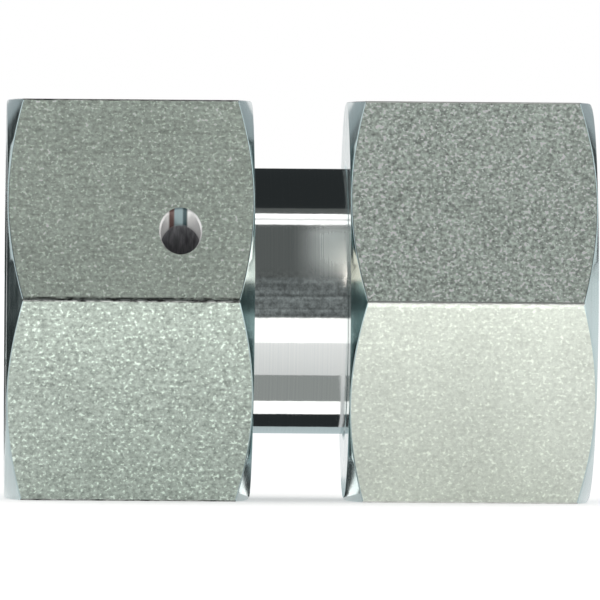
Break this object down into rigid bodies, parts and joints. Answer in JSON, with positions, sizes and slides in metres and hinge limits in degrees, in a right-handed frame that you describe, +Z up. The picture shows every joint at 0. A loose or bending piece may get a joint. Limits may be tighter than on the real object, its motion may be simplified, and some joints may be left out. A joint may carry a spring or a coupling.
{
  "type": "hydraulic swivel adapter",
  "caption": "Straight hydraulic adapter: a round body with a hexagon swivel nut, pipe-threaded inside, at each end.",
  "frame": {"origin": "on the flow axis, midway between the two nuts", "axes": "+X along the flow axis, towards the right nut in the picture; +Z up, out of a flat of each nut"},
  "size_m": [0.0396, 0.0312, 0.027],
  "materials": {
    "body_steel": "bright turned",
    "nut_steel": "drawn bar, turned ends",
    "wire_steel": "drawn wire",
    "seal_rubber": "moulded, satin"
  },
  "bodies": {
    "body": {"adapter_body": "body_steel", "left_o_ring": "seal_rubber", "right_o_ring": "seal_rubber"},
    "left_nut": {"left_nut": "nut_steel", "left_thrust_wire": "wire_steel"},
    "right_nut": {"right_nut": "nut_steel", "right_thrust_wire": "wire_steel"}
  },
  "joints": [
    {"name": "left_nut_swivel", "type": "hinge", "parent": "body", "child": "left_nut", "pos_m": [-0.0115, 0, 0], "axis": [1, 0, 0], "continuous": true},
    {"name": "right_nut_swivel", "type": "hinge", "parent": "body", "child": "right_nut", "pos_m": [0.0115, 0, 0], "axis": [1, 0, 0], "continuous": true}
  ]
}
